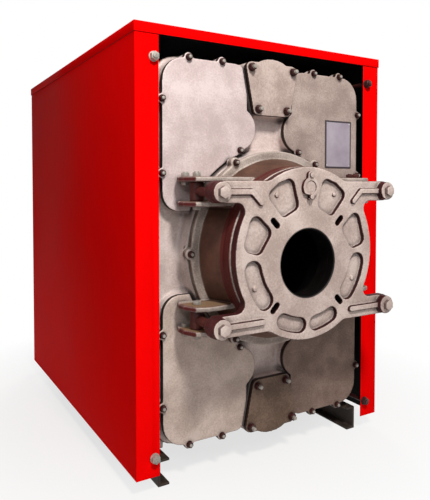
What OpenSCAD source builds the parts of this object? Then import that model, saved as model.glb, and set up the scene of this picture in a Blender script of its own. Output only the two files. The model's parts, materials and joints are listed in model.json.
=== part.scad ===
// Cast iron sectional boiler in a sheet jacket whose front panel is off.
// The front faces -Y and the rails stand on the floor at Z 0.

/* [Sections] */
// Width of a cast section
section_w = 650; // [645:1:690]
// Height of a cast section
section_h = 948; // [940:1:1020]
// Depth of the front section and of the rear section
end_section_d = 115; // [100:1:140]
// Depth of a middle section
mid_section_d = 120; // [90:1:150]
// Outer corner radius of a section
section_r = 66; // [50:1:75]
// Width of the groove along the joint of two sections
joint_w = 8; // [4:1:12]
// Depth of the groove along the joint of two sections
joint_d = 10; // [5:1:15]
// Height of a section's feet
foot_h = 19; // [12:1:30]
// Overhang of a section's feet inside the rails
foot_in = 8; // [4:1:20]
// Setback of the feet from the ends of a section
foot_inset = 30; // [20:1:35]
// Radius of the furnace
furnace_r = 175; // [168:1:180]

/* [Jacket] */
// Gap between the sections and the outside of a side panel
side_gap = 58; // [45:1:90]
// Gap between the sections and the outside of the top panel
top_gap = 58; // [53:1:90]
// Height of the jacket's lower edge above the floor
jacket_lift = 40; // [20:1:60]
// Setback of the section faces behind the jacket's ends
setback = 40; // [38:1:60]
// Thickness of the sheet
sheet_t = 2; // [1.2:0.1:3]
// Width of the inward flange at each end of a side panel
flange_w = 59; // [54:1:64]
// Height of the top panel's folded lip
lip_h = 24; // [15:1:30]
// Gap between the lip and the panels that it covers
lip_gap = 0.2; // [0.1:0.1:0.5]

/* [Rails] */
// Height of a rail
rail_h = 65; // [62:1:100]
// Width of a rail's flanges
rail_w = 30; // [25:1:50]
// Thickness of a rail's web and flanges
rail_t = 6; // [4:0.5:8]
// Distance from the side of the sections to the rail's web
rail_in = 6; // [0:1:15]
// Setback of the rail ends behind the jacket's ends
rail_setback = 20; // [10:1:30]

/* [Tie rods] */
// Radius of a tie rod
rod_r = 6; // [5:0.5:8]
// Distance from the side of the sections to the rod's axis
rod_out = 12; // [11:0.5:14]
// Drop of the upper rods below the top of the sections
rod_drop = 18; // [14:1:60]
// Rise of the lower rods above the bottom of the sections
rod_rise = 1; // [0:1:60]
// Radial clearance of the rods in their holes
rod_clear = 0.7; // [0.5:0.1:1.5]

/* [Flue covers] */
// Thickness of a flue cover
cover_t = 14; // [10:1:18]
// Height of the cast seat under a flue cover
seat_h = 15; // [10:1:18]
// Distance from the side of the sections to the cover's edge
cover_side = 15; // [14:1:30]
// Distance from the top or bottom of the sections to the cover's edge
cover_top = 7; // [4:1:20]
// Gap between a flue cover and the foot of the collar
cover_clear = 3; // [2:1:6]
// Distance of a cover's inner edge from the centre plane
cover_in = 72; // [70:1:76]
// Height of a cover's lower edge above the boiler's axis
cover_low = 100; // [95:1:110]
// Radius of a bolt lug
lug_r = 12; // [10:0.5:13]

/* [Port plates] */
// Thickness of a port plate
port_t = 14; // [10:1:18]
// Height of the cast boss under a port plate
port_boss_h = 26; // [20:1:34]
// Distance from the section's edge to the outer pair of studs
port_edge = 11; // [9:1:16]
// Distance between the two pairs of studs
port_pitch = 106; // [100:1:112]
// Distance of an outer stud from the centre plane
port_outer_x = 66; // [62:1:68]
// Distance of an inner stud from the centre plane
port_inner_x = 45; // [42:1:48]
// Rise of the arch along a port plate's outer edge
port_arch_h = 12; // [8:1:14]
// Half width of the arch along a port plate's outer edge
port_arch_x = 46; // [40:1:52]
// Gap between a port plate and a flue cover
port_clear = 4; // [3:0.5:6]

/* [Burner neck] */
// Radius of the collar's front and of the neck's base flange
collar_r = 250; // [246:1:252]
// Draft of the collar over its depth
collar_draft = 5; // [2:1:5]
// Thickness of the base flange
neck_base_t = 20; // [14:1:24]
// Length of the conical neck
neck_len = 75; // [65:1:85]
// Thickness of the rim that the door closes on
neck_rim_t = 26; // [20:1:30]
// Step of the conical neck below the base flange
neck_step = 20; // [15:1:24]
// Thickness of the neck's wall at its narrow end
neck_wall = 30; // [26:1:34]
// Overhang of the rim beyond the neck's narrow end
neck_rim_out = 3; // [2:1:6]
// Distance from the furnace's edge to the door seal
seal_inset = 18; // [15:1:20]
// Width of the door seal
seal_w = 10; // [8:1:12]
// Thickness of the door seal
seal_t = 2.6; // [2:0.1:4]
// Gap between the seal and the closed door
seal_gap = 0.4; // [0.3:0.1:0.8]

/* [Door] */
// Radius of the door disc
door_r = 207; // [200:1:212]
// Thickness of the door disc
door_t = 21; // [18:1:26]
// Depth of the cast pockets
pocket_d = 10; // [5:1:12]
// Radius of the burner opening
burner_r = 81; // [60:1:84]
// Drop of the burner opening below the door's centre
burner_drop = 23; // [15:1:25]
// Radius of the circle that the burner slots lie on
slot_ring_r = 139; // [136:1:141]
// Width of a burner slot
slot_w = 13; // [9:1:14]
// Travel of a bolt in a burner slot
slot_len = 17; // [10:1:18]
// Radius of the door's refractory lining
lining_r = 140; // [128:1:145]
// Depth of the door's refractory lining
lining_d = 40; // [25:1:45]
// Radius of a bolt boss
boss_r = 23; // [20:0.5:25]
// Height of a bolt boss above the disc
boss_h = 17; // [12:1:22]
// Half height of an arm
arm_h = 25; // [23:0.5:27]
// Fillet between the disc and the inner edge of an arm
arm_fillet_in = 20; // [10:1:26]
// Fillet between the disc and the outer edge of an arm
arm_fillet_out = 30; // [10:1:40]

/* [Hinges] */
// Distance of the hinge pins from the centre plane
hinge_x = 250; // [247:1:256]
// Distance of the hinge pins in front of the jacket
hinge_out = 46; // [42:1:50]
// Height of the hinges above and below the door's centre
hinge_dz = 148; // [144:1:150]
// Gap between the two plates of a fork
fork_gap = 45; // [40:1:48]
// Thickness of a fork plate
fork_t = 12; // [10:1:14]
// Radius of a hinge pin
pin_r = 6; // [5:0.5:7]
// Radial clearance of a hinge pin in its knuckle
pin_clear = 0.05; // [0.02:0.01:0.08]
// Radius of a knuckle's eye
eye_r = 16; // [13:0.5:17]
// Radius of a knuckle's finger
finger_r = 11; // [8:0.5:12]
// Clearance of a knuckle between the fork plates and behind its boss
knuckle_clear = 0.3; // [0.2:0.1:0.6]
// Radius of a door bolt
bolt_r = 8; // [6:0.5:8]
// Distance of a stop bolt outside the hinge pin
stop_side = 12; // [10:1:14]
// Distance of a stop bolt behind the hinge pin
stop_behind = 34; // [33:1:35]

/* [Sight hole] */
// Height of the sight cover's pivot above the door's centre
sight_pivot_dz = 187; // [185:1:190]
// Distance from the pivot down to the middle of the cover
sight_drop = 29; // [27:1:31]
// Radius of the sight cover
sight_r = 23.5; // [21:0.5:25]
// Thickness of the sight cover
sight_t = 9; // [5:0.5:10]
// Radius of the sight hole
sight_hole_r = 8; // [5:0.5:9]
// Radius of the two sight cover screws
sight_screw_r = 3; // [2.5:0.1:3.5]
// Gap between the sight cover and the door or a screw head
sight_gap = 0.3; // [0.2:0.1:0.5]

/* [Rear connections] */
// Radius of the flue collar
flue_r = 100; // [80:1:125]
// Length of the flue collar
flue_len = 80; // [60:1:120]
// Length of the flue hood's cone
hood_len = 90; // [70:1:130]
// Radius of the hood's base
hood_r = 235; // [220:1:245]
// Thickness of the hood's wall
hood_wall = 8; // [6:0.5:10]
// Thickness of the hood's base flange
hood_base_t = 16; // [12:1:20]
// Width of a flue way behind the hood
flue_way_w = 70; // [60:1:80]
// Height of a flue way behind the hood
flue_way_h = 180; // [150:1:200]
// Distance of a flue way from the centre plane
flue_way_in = 60; // [55:1:65]
// Depth of a flue way
flue_way_d = 20; // [15:1:25]
// Radius of a water connection's bore
water_r = 40; // [32:1:42]
// Radius of a water connection's flange
water_flange_r = 95; // [92:1:100]
// Thickness of a water connection's flange
water_flange_t = 18; // [14:1:24]
// Length of the pipe neck behind a water flange
water_neck = 32; // [24:1:50]
// Radius of the flange's bolt circle
water_bolt_ring_r = 75; // [70:0.5:78]
// Radius of the flange's bolt holes
water_hole_r = 9; // [7:0.5:10]

/* [Hidden] */
$fn = 64;
mid_count = 6;
axis_z = rail_h + foot_h + section_h / 2;
half_w = section_w / 2;
half_h = section_h / 2;
block_d = 2 * end_section_d + mid_count * mid_section_d;
block_back = setback + block_d;
jacket_w = section_w + 2 * side_gap;
jacket_d = block_d + 2 * setback;
jacket_top = rail_h + foot_h + section_h + top_gap;
door_back = neck_base_t + neck_len + neck_rim_t + seal_t + seal_gap;
door_face = door_back + door_t;
boss_face = door_face + boss_h;
head_h = bolt_r * 1.25;
part_front = boss_face + head_h;
part_back = block_back + hood_base_t + hood_len + flue_len;
mid_y = (part_back - part_front) / 2;
cover_x = half_w - cover_side;
cover_z = half_h - cover_top;
cover_arc_r = collar_r + collar_draft + cover_clear;
bulge_r = 55;
bulge = [cover_in + bulge_r / 2 + 0.5, cover_arc_r + bulge_r - 8];
port_z = half_h - port_edge;
port_low = port_z - port_pitch;
port_r = 15;
seal_in = furnace_r + seal_inset;
seal_out = seal_in + seal_w;
stop_at = [hinge_x + stop_side, hinge_out - stop_behind];
lug_angles = [0, 60, 120, 180, 240, 300];

// Extrudes an X, Z outline about the boiler's axis from depth y0 backwards.
module slab(y0, depth) {
    translate([0, y0 + depth, axis_z])
        rotate([90, 0, 0])
            linear_extrude(depth)
                children();
}

// Turns an outline of radius and distance in front of the jacket about the boiler's axis.
module turned() {
    translate([0, 0, axis_z])
        rotate([90, 0, 0])
            rotate_extrude($fn = 128)
                children();
}

// Round bar along Y, placed from the boiler's axis.
module bar(x, dz, y0, depth, r) {
    translate([x, y0, axis_z + dz])
        rotate([-90, 0, 0])
            cylinder(h = depth, r = r);
}

// Hexagon along Y, measured across its flats.
module hexagon(x, dz, y0, depth, flats) {
    translate([x, y0, axis_z + dz])
        rotate([-90, 0, 0])
            rotate([0, 0, 30])
                cylinder(h = depth, r = flats / sqrt(3), $fn = 6);
}

// Hexagon along Z, measured across its flats.
module upright_hexagon(at, z0, depth, flats) {
    translate([at[0], at[1], z0])
        cylinder(h = depth, r = flats / sqrt(3), $fn = 6);
}

// Repeats on the other side of the centre plane.
module both_sides() {
    children();
    mirror([1, 0, 0])
        children();
}

// Repeats above and below the boiler's axis.
module both_heights() {
    children();
    translate([0, 0, 2 * axis_z])
        mirror([0, 0, 1])
            children();
}

// Moves to the frame whose origin is the middle of the floor area.
module placed() {
    translate([0, -mid_y, 0])
        children();
}

module round_rect(w, h, r) {
    square([w - 2 * r, h], center = true);
    square([w, h - 2 * r], center = true);
    for (x = [-1, 1], z = [-1, 1])
        translate([x * (w / 2 - r), z * (h / 2 - r)])
            circle(r);
}

cover_lugs = [
    [cover_x + 1, cover_z - 102], [cover_x + 1, cover_low + 91],
    [cover_x - 70, cover_z + 1], [cover_x - 163, cover_z + 1], bulge - [6.5, 54]];

// Upper right flue cover or its seat, with the collar's arc cut out of it.
module cover_slab(y0, depth, r) {
    top_r = 60;
    low_r = 45;
    in_r = 35;
    difference() {
        union() {
            slab(y0, depth)
                polygon([
                    [cover_in, cover_z - in_r], [cover_in + in_r, cover_z],
                    [cover_x - top_r, cover_z], [cover_x, cover_z - top_r],
                    [cover_x, cover_low + low_r], [cover_x - low_r, cover_low],
                    [bulge[0], cover_low], [bulge[0], bulge[1] - bulge_r], [cover_in, bulge[1]]]);
            bar(cover_in + in_r, cover_z - in_r, y0, depth, in_r);
            bar(cover_x - top_r, cover_z - top_r, y0, depth, top_r);
            bar(cover_x - low_r, cover_low + low_r, y0, depth, low_r);
            bar(bulge[0], bulge[1], y0, depth, bulge_r);
            for (at = cover_lugs)
                bar(at[0], at[1], y0, depth, r);
        }
        bar(0, 0, y0 - 1, depth + 2, cover_arc_r, $fn = 128);
        slab(y0 - 1, depth + 2)
            port_outline(port_r + port_clear);
    }
}

// Outline of the upper port plate, with that radius round its studs.
module port_outline(r = port_r) {
    low = [port_inner_x, port_low];
    high = [port_outer_x, port_z - 2];
    run = high - low;
    out = r * [run[1], -run[0]] / norm(run);
    edge = high[1] + r;
    arch_r = (pow(port_arch_x, 2) + pow(port_arch_h, 2)) / (2 * port_arch_h);
    sweep = asin(port_arch_x / arch_r);
    polygon(concat(
        [[-low[0], port_low - r], [low[0], port_low - r], low + out, high + out, [high[0], edge]],
        arc([0, edge + port_arch_h - arch_r], arch_r, 90 - sweep, 90 + sweep),
        [[-high[0], edge], [-high[0] - out[0], high[1] + out[1]], [-low[0] - out[0], low[1] + out[1]]]));
    for (x = [-1, 1], at = [low, high])
        translate([x * at[0], at[1]])
            circle(r);
}

// Sectional body between two depths, grooved where it meets a neighbour.
module section_body(y0, depth, groove_front, groove_back) {
    slab(y0, depth)
        round_rect(section_w - 2 * joint_d, section_h - 2 * joint_d, section_r - joint_d);
    slab(y0 + groove_front, depth - groove_front - groove_back)
        round_rect(section_w, section_h, section_r);
    both_sides()
        translate([half_w - rail_in - rail_w - foot_in, y0 + foot_inset, rail_h])
            cube([rail_w + foot_in, depth - 2 * foot_inset, foot_h + section_r]);
}

rod_heights = [half_h - rod_drop, rod_rise - half_h];

// Ears that the tie rods pull on.
module ears(y0, depth) {
    ear_r = rod_r + 8;
    both_sides()
        for (dz = rod_heights) {
            bar(half_w + rod_out, dz, y0, depth, ear_r);
            translate([half_w - section_r, y0, axis_z + dz - ear_r])
                cube([section_r + rod_out, depth, 2 * ear_r]);
        }
}

module ear_holes(y0, depth) {
    both_sides()
        for (dz = rod_heights)
            bar(half_w + rod_out, dz, y0 - 1, depth + 2, rod_r + rod_clear);
}

ear_t = 22;
ear_front = setback + 55;
ear_back = block_back - 55 - ear_t;

module front_section() {
    color("Silver")
        difference() {
            union() {
                section_body(setback, end_section_d, 0, joint_w / 2);
                both_heights()
                    both_sides()
                        cover_slab(setback - seat_h, seat_h + 1, lug_r - 1);
                both_heights()
                    slab(setback - port_boss_h, port_boss_h + 1)
                        port_outline();
                turned()
                    polygon([[0, 0], [collar_r, 0], [collar_r + collar_draft, -setback], [0, -setback]]);
                for (a = lug_angles)
                    bar((collar_r + 2) * cos(a), (collar_r + 2) * sin(a), 0, 8, lug_r);
                ears(ear_front, ear_t);
            }
            bar(0, 0, -1, setback + end_section_d + 2, furnace_r, $fn = 128);
            ear_holes(ear_front, ear_t);
        }
}

module middle_section(i) {
    y0 = setback + end_section_d + (i - 1) * mid_section_d;
    color("DimGray")
        difference() {
            section_body(y0, mid_section_d, joint_w / 2, joint_w / 2);
            bar(0, 0, y0 - 1, mid_section_d + 2, furnace_r, $fn = 128);
        }
}

rear_wall = 30;

module rear_section() {
    y0 = block_back - end_section_d;
    color("Gray")
        difference() {
            union() {
                section_body(y0, end_section_d, joint_w / 2, 0);
                both_heights()
                    slab(block_back - 1, port_boss_h + 1)
                        port_outline();
                ears(ear_back, ear_t);
            }
            bar(0, 0, y0 - 1, end_section_d - rear_wall + 1, furnace_r, $fn = 128);
            ear_holes(ear_back, ear_t);
            both_heights()
                bar(0, port_z - port_pitch / 2, block_back - 40, 41 + port_boss_h, water_r);
            both_sides()
                translate([flue_way_in, block_back - flue_way_d, axis_z - flue_way_h / 2])
                    cube([flue_way_w, flue_way_d + 1, flue_way_h]);
        }
}

module tie_rod(dz) {
    x = half_w + rod_out;
    nut_h = rod_r * 1.6;
    flats = rod_r * 3.1;
    washer_t = 2.5;
    bar(x, dz, -washer_t - nut_h - 3, jacket_d + 2 * (washer_t + nut_h + 3), rod_r);
    bar(x, dz, -washer_t, washer_t, rod_r * 2);
    hexagon(x, dz, -washer_t - nut_h, nut_h + 0.5, flats);
    hexagon(x, dz, ear_front - nut_h, nut_h, flats);
    hexagon(x, dz, ear_back + ear_t, nut_h, flats);
    bar(x, dz, jacket_d, washer_t, rod_r * 2);
    hexagon(x, dz, jacket_d + washer_t - 0.5, nut_h + 0.5, flats);
}

module tie_rods_right() {
    color("DarkGray")
        for (dz = rod_heights)
            tie_rod(dz);
}

module tie_rods_left() {
    mirror([1, 0, 0])
        tie_rods_right();
}

module flue_cover() {
    color("LightGray")
        cover_slab(setback - seat_h - cover_t, cover_t, lug_r);
}

module port_plate() {
    color("LightGray")
        slab(setback - port_boss_h - port_t, port_t)
            port_outline();
}

// Plan of a right hand fork plate, out to its distance in front of the jacket.
module fork_plan() {
    polygon([
        [90, -4], [hinge_x + 26, -4], [hinge_x + 33, 14], [hinge_x + 33, hinge_out - 4],
        [hinge_x + 18, hinge_out + 30], [hinge_x - 8, hinge_out + 42],
        [hinge_x - 40, hinge_out + 41], [90, hinge_out + 30]]);
}

fork_planes = [hinge_dz - fork_gap / 2 - fork_t, hinge_dz + fork_gap / 2];

module burner_neck() {
    root_r = collar_r - neck_step;
    tip_r = furnace_r + neck_wall;
    rim_r = tip_r + neck_rim_out;
    cone_end = neck_base_t + neck_len;
    rim_end = cone_end + neck_rim_t;
    color("SaddleBrown")
        difference() {
            union() {
                turned()
                    polygon([
                        [furnace_r - 5, 0], [collar_r, 0], [collar_r, neck_base_t], [root_r, neck_base_t],
                        [tip_r, cone_end], [rim_r, cone_end], [rim_r, rim_end], [furnace_r - 5, rim_end]]);
                for (a = lug_angles)
                    bar((collar_r + 2) * cos(a), (collar_r + 2) * sin(a), -neck_base_t, neck_base_t, lug_r + 1);
                both_heights()
                    both_sides()
                        for (dz = fork_planes)
                            translate([0, 0, axis_z + dz])
                                linear_extrude(fork_t)
                                    mirror([0, 1])
                                        fork_plan();
            }
            bar(0, 0, -rim_end - 1, rim_end + 2, furnace_r, $fn = 128);
            bar(0, 0, 0, setback, collar_r + 20, $fn = 128);
            both_heights()
                both_sides() {
                    translate([hinge_x, -hinge_out, axis_z + fork_planes[0] - 1])
                        cylinder(h = fork_gap + 2 * fork_t + 2, r = pin_r + pin_clear);
                    translate([stop_at[0], -stop_at[1], axis_z + fork_planes[1] - 1])
                        cylinder(h = fork_t + 2, r = pin_r + pin_clear);
                }
        }
}

module door_seal() {
    y = neck_base_t + neck_len + neck_rim_t;
    color("Gainsboro")
        turned()
            polygon([[seal_in, y], [seal_out, y], [seal_out, y + seal_t], [seal_in, y + seal_t]]);
}

// Points of an arc from one angle to another.
function arc(at, r, a0, a1, n = 8) =
    [for (i = [0:n]) let (a = a0 + (a1 - a0) * i / n) at + r * [cos(a), sin(a)]];

// Direction that faces out of an edge of a counterclockwise outline.
function out_angle(a, b) = atan2(a[0] - b[0], b[1] - a[1]);

// Outline round corner centres given counterclockwise.
function rounded(centres, r) =
    let (n = len(centres))
        [for (i = [0:n - 1])
            let (here = centres[i],
                 a0 = out_angle(centres[(i + n - 1) % n], here),
                 turn = (out_angle(here, centres[(i + 1) % n]) - a0 + 720) % 360)
                each arc(here, r, a0, a0 + turn)];

// Kidney shaped outline between two angles of a ring.
function kidney(r, half, a0, a1) = concat(
    arc([0, 0], r + half, a0, a1),
    arc(r * [cos(a1), sin(a1)], half, a1, a1 + 180),
    arc([0, 0], r - half, a1, a0),
    arc(r * [cos(a0), sin(a0)], half, a0 + 180, a0 + 360));

// Right hand half of the door's pockets.
module pockets() {
    polygon(rounded([[71, 105], [100, 138], [81, 153], [58, 161], [46, 118]], 16));
    polygon(rounded([[148, 23], [165, 28], [151, 74], [128, 53]], 18));
    polygon(kidney(door_r - 45, 23, -38.5, -11));
    polygon(kidney(door_r - 35, 18.5, -82, -64.5));
}

// Concave fillet between the disc and an arm's edge at height z, on the side that faces away from it.
module arm_fillet(z, r, side) {
    reach = max(0, pow(door_r + r, 2) - pow(z + side * r, 2));
    centre = [sqrt(reach), z + side * r];
    inward = atan2(-centre[1], -centre[0]);
    lap = 4;
    polygon(concat(
        [[centre[0], z - side * lap]],
        arc(centre, r, -side * 90, side > 0 ? inward : inward + 360),
        [centre * (door_r - lap) / (door_r + r)],
        [[sqrt(max(0, pow(door_r, 2) - pow(z, 2))) - lap, z - side * lap]]));
}

// Outline of the door with its four arms.
module door_outline() {
    circle(door_r, $fn = 128);
    for (z = [0, 1])
        mirror([0, z])
            both_sides() {
                translate([0, hinge_dz - arm_h])
                    square([hinge_x, 2 * arm_h]);
                translate([hinge_x, hinge_dz])
                    circle(arm_h);
                arm_fillet(hinge_dz - arm_h, arm_fillet_in, -1);
                arm_fillet(hinge_dz + arm_h, arm_fillet_out, 1);
            }
}

module burner_slots() {
    translate([0, -burner_drop])
        for (a = [45:90:315])
            rotate(a) {
                translate([slot_ring_r - slot_len / 2, -slot_w / 2])
                    square([slot_len, slot_w]);
                for (end = [-1, 1])
                    translate([slot_ring_r + end * slot_len / 2, 0])
                        circle(slot_w / 2);
            }
}

sight_at = sight_pivot_dz - sight_drop;
latch_drop = sight_drop + sight_r - 1;
sight_hole_fit = 0.2;

// Round bosses left standing on the pocket floors.
module pocket_studs() {
    stud_r = 5.5;
    stud_h = 4;
    both_sides()
        for (at = [[88, 140], [150, -73]])
            bar(at[0], at[1], -door_face + pocket_d - stud_h, stud_h + 1, stud_r);
}

module burner_door() {
    ridge_h = 7;
    ridge_w = 13;
    bend = [hinge_x - 84, hinge_dz];
    color("Silver") {
        difference() {
            union() {
                slab(-door_face, door_t)
                    door_outline();
                for (x = [-1, 1], z = [-1, 1])
                    bar(x * hinge_x, z * hinge_dz, -boss_face, boss_face - door_back, boss_r);
                both_sides()
                    slab(-door_face - ridge_h, ridge_h + 1) {
                        polygon(rounded([bend, [hinge_x, hinge_dz]], ridge_w / 2));
                        polygon(rounded([bend - [25, 25], bend], ridge_w / 2 - 0.5));
                        polygon(rounded([[hinge_x - 115, -hinge_dz], [hinge_x, -hinge_dz]], ridge_w / 2));
                    }
            }
            both_sides()
                slab(-door_face - 1, pocket_d + 1)
                    pockets();
            slab(-door_face - 1, door_t + 2)
                burner_slots();
            bar(0, -burner_drop, -door_face - 1, door_t + 2, burner_r, $fn = 128);
            bar(0, sight_at, -door_face - 1, door_t + 2, sight_hole_r);
            for (dz = [sight_pivot_dz, sight_pivot_dz - latch_drop])
                bar(0, dz, -door_face - 1, 13, sight_screw_r + sight_hole_fit);
            for (x = [-1, 1], z = [-1, 1])
                bar(x * hinge_x, z * hinge_dz, -boss_face - 1, boss_face - door_back + 2, bolt_r + 0.5);
        }
        pocket_studs();
    }
}

module door_lining() {
    color("Wheat")
        difference() {
            bar(0, 0, -door_back, lining_d, lining_r, $fn = 128);
            bar(0, -burner_drop, -door_back - 1, lining_d + 2, burner_r, $fn = 128);
        }
}

module knuckle(dz) {
    eye_h = fork_gap - 2 * knuckle_clear;
    reach = door_back - hinge_out - knuckle_clear;
    difference() {
        union() {
            translate([hinge_x, -hinge_out, axis_z + dz - eye_h / 2])
                cylinder(h = eye_h, r = eye_r);
            bar(hinge_x, dz, -hinge_out - reach, reach, finger_r);
        }
        translate([hinge_x, -hinge_out, axis_z + dz - fork_gap])
            cylinder(h = 2 * fork_gap, r = pin_r + pin_clear);
    }
}

module knuckles_right() {
    color("Maroon")
        for (z = [-1, 1])
            knuckle(z * hinge_dz);
}

module knuckles_left() {
    mirror([1, 0, 0])
        knuckles_right();
}

// Upright bolt between two heights, head below and nut above.
module plate_bolt(at, low, high) {
    flats = pin_r * 3.1;
    translate([at[0], at[1], low])
        cylinder(h = high - low + pin_r * 2, r = pin_r);
    upright_hexagon(at, low - pin_r * 1.3, pin_r * 1.3, flats);
    upright_hexagon(at, high, pin_r * 1.6, flats);
}

module hinge_pins_right() {
    color("DarkGray")
        both_heights()
            plate_bolt([hinge_x, -hinge_out], axis_z + fork_planes[0], axis_z + fork_planes[1] + fork_t);
}

module hinge_pins_left() {
    mirror([1, 0, 0])
        hinge_pins_right();
}

// Short bolts through the outer plates of the forks.
module stop_bolts_right() {
    color("DarkGray")
        both_heights()
            plate_bolt([stop_at[0], -stop_at[1]], axis_z + fork_planes[1], axis_z + fork_planes[1] + fork_t);
}

module stop_bolts_left() {
    mirror([1, 0, 0])
        stop_bolts_right();
}

module door_bolts_right() {
    color("LightGray")
        for (z = [-1, 1]) {
            bar(hinge_x, z * hinge_dz, -boss_face - 1, boss_face - door_back + 1, bolt_r);
            hexagon(hinge_x, z * hinge_dz, -boss_face - head_h, head_h, bolt_r * 3);
        }
}

module door_bolts_left() {
    mirror([1, 0, 0])
        door_bolts_right();
}

// Sight cover, hung from its top screw and notched for the lower one.
module sight_cover() {
    notch = sight_screw_r + 1;
    dish_d = 2;
    dish_r = sight_r - 8;
    y0 = -door_face - sight_gap - sight_t;
    color("Silver")
        difference() {
            slab(y0, sight_t)
                difference() {
                    union() {
                        translate([0, sight_at])
                            circle(sight_r);
                        translate([0, sight_pivot_dz])
                            circle(9);
                        translate([-9, sight_at])
                            square([18, sight_drop]);
                        translate([0, sight_at - sight_r + 2])
                            circle(9);
                    }
                    translate([0, sight_pivot_dz])
                        intersection() {
                            difference() {
                                circle(latch_drop + notch, $fn = 128);
                                circle(latch_drop - notch, $fn = 128);
                            }
                            translate([-30, -2 * latch_drop])
                                square([30 + notch, 2 * latch_drop]);
                        }
                }
            bar(0, sight_pivot_dz, y0 - 1, sight_t + 2, sight_screw_r + pin_clear);
            bar(0, sight_at, y0 - 1, dish_d + 1, dish_r);
        }
}

module sight_screws() {
    head = 4;
    reach = 12;
    color("DarkGray")
        for (dz = [sight_pivot_dz, sight_pivot_dz - latch_drop]) {
            bar(0, dz, -door_face - sight_t - 2 * sight_gap - 1, sight_t + 2 * sight_gap + reach, sight_screw_r);
            bar(0, dz, -door_face - sight_t - 2 * sight_gap - head, head, sight_screw_r * 2);
        }
}

module jacket_right() {
    x1 = jacket_w / 2;
    h = jacket_top - sheet_t - jacket_lift;
    color("Red")
        difference() {
            union() {
                translate([x1 - sheet_t, 0, jacket_lift])
                    cube([sheet_t, jacket_d, h]);
                for (y = [0, jacket_d - sheet_t])
                    translate([x1 - flange_w, y, jacket_lift])
                        cube([flange_w, sheet_t, h]);
            }
            for (dz = rod_heights)
                bar(half_w + rod_out, dz, -1, jacket_d + 2, rod_r + rod_clear);
        }
}

module jacket_left() {
    mirror([1, 0, 0])
        jacket_right();
}

module jacket_top() {
    in_w = jacket_w + 2 * lip_gap;
    in_d = jacket_d + 2 * lip_gap;
    color("Red")
        difference() {
            translate([-in_w / 2 - sheet_t, -lip_gap - sheet_t, jacket_top - lip_h])
                cube([in_w + 2 * sheet_t, in_d + 2 * sheet_t, lip_h]);
            translate([-in_w / 2, -lip_gap, jacket_top - lip_h - 1])
                cube([in_w, in_d, lip_h + 1 - sheet_t]);
        }
}

module rail_right() {
    x1 = half_w - rail_in;
    color("DimGray")
        translate([0, jacket_d - rail_setback, 0])
            rotate([90, 0, 0])
                linear_extrude(jacket_d - 2 * rail_setback)
                    polygon([
                        [x1, 0], [x1, rail_h], [x1 - rail_w, rail_h], [x1 - rail_w, rail_h - rail_t],
                        [x1 - rail_t, rail_h - rail_t], [x1 - rail_t, rail_t],
                        [x1 - rail_w, rail_t], [x1 - rail_w, 0]]);
}

module rail_left() {
    mirror([1, 0, 0])
        rail_right();
}

module flue_hood() {
    y0 = -block_back;
    y1 = y0 - hood_base_t;
    y2 = y1 - hood_len;
    y3 = y2 - flue_len;
    cone_r = hood_r - 22;
    color("DimGray")
        turned()
            polygon([
                [cone_r - hood_wall, y0], [hood_r, y0], [hood_r, y1], [cone_r, y1],
                [flue_r, y2], [flue_r, y3], [flue_r - hood_wall, y3],
                [flue_r - hood_wall, y2], [cone_r - hood_wall, y1]]);
}

module flow_flange() {
    y0 = block_back + port_boss_h;
    y1 = y0 + port_t;
    y2 = y1 + water_neck;
    dz = port_z - port_pitch / 2;
    color("DimGray")
        difference() {
            union() {
                slab(y0, port_t)
                    port_outline();
                bar(0, dz, y1 - 1, water_neck + 2, water_r + 8);
                bar(0, dz, y2, water_flange_t, water_flange_r);
            }
            bar(0, dz, y0 - 1, port_t + water_neck + water_flange_t + 2, water_r);
            for (a = [45:90:315])
                bar(water_bolt_ring_r * cos(a), dz + water_bolt_ring_r * sin(a),
                    y2 - 1, water_flange_t + 2, water_hole_r);
        }
}

module below() {
    translate([0, 0, 2 * axis_z])
        mirror([0, 0, 1])
            children();
}

placed() rail_left();
placed() rail_right();
placed() front_section();
placed() middle_section(1);  // middle_section_1
placed() middle_section(2);  // middle_section_2
placed() middle_section(3);  // middle_section_3
placed() middle_section(4);  // middle_section_4
placed() middle_section(5);  // middle_section_5
placed() middle_section(6);  // middle_section_6
placed() rear_section();
placed() tie_rods_left();
placed() tie_rods_right();
placed() mirror([1, 0, 0]) flue_cover();  // flue_cover_upper_left
placed() flue_cover();  // flue_cover_upper_right
placed() below() mirror([1, 0, 0]) flue_cover();  // flue_cover_lower_left
placed() below() flue_cover();  // flue_cover_lower_right
placed() port_plate();  // port_plate_upper
placed() below() port_plate();  // port_plate_lower
placed() burner_neck();
placed() door_seal();
placed() burner_door();
placed() door_lining();
placed() knuckles_left();
placed() knuckles_right();
placed() hinge_pins_left();
placed() hinge_pins_right();
placed() stop_bolts_left();
placed() stop_bolts_right();
placed() door_bolts_left();
placed() door_bolts_right();
placed() sight_cover();
placed() sight_screws();
placed() jacket_left();
placed() jacket_right();
placed() jacket_top();
placed() flue_hood();
placed() flow_flange();
placed() below() flow_flange();  // return_flange
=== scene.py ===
import json
import math
import bpy
from mathutils import Matrix, Vector


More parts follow.
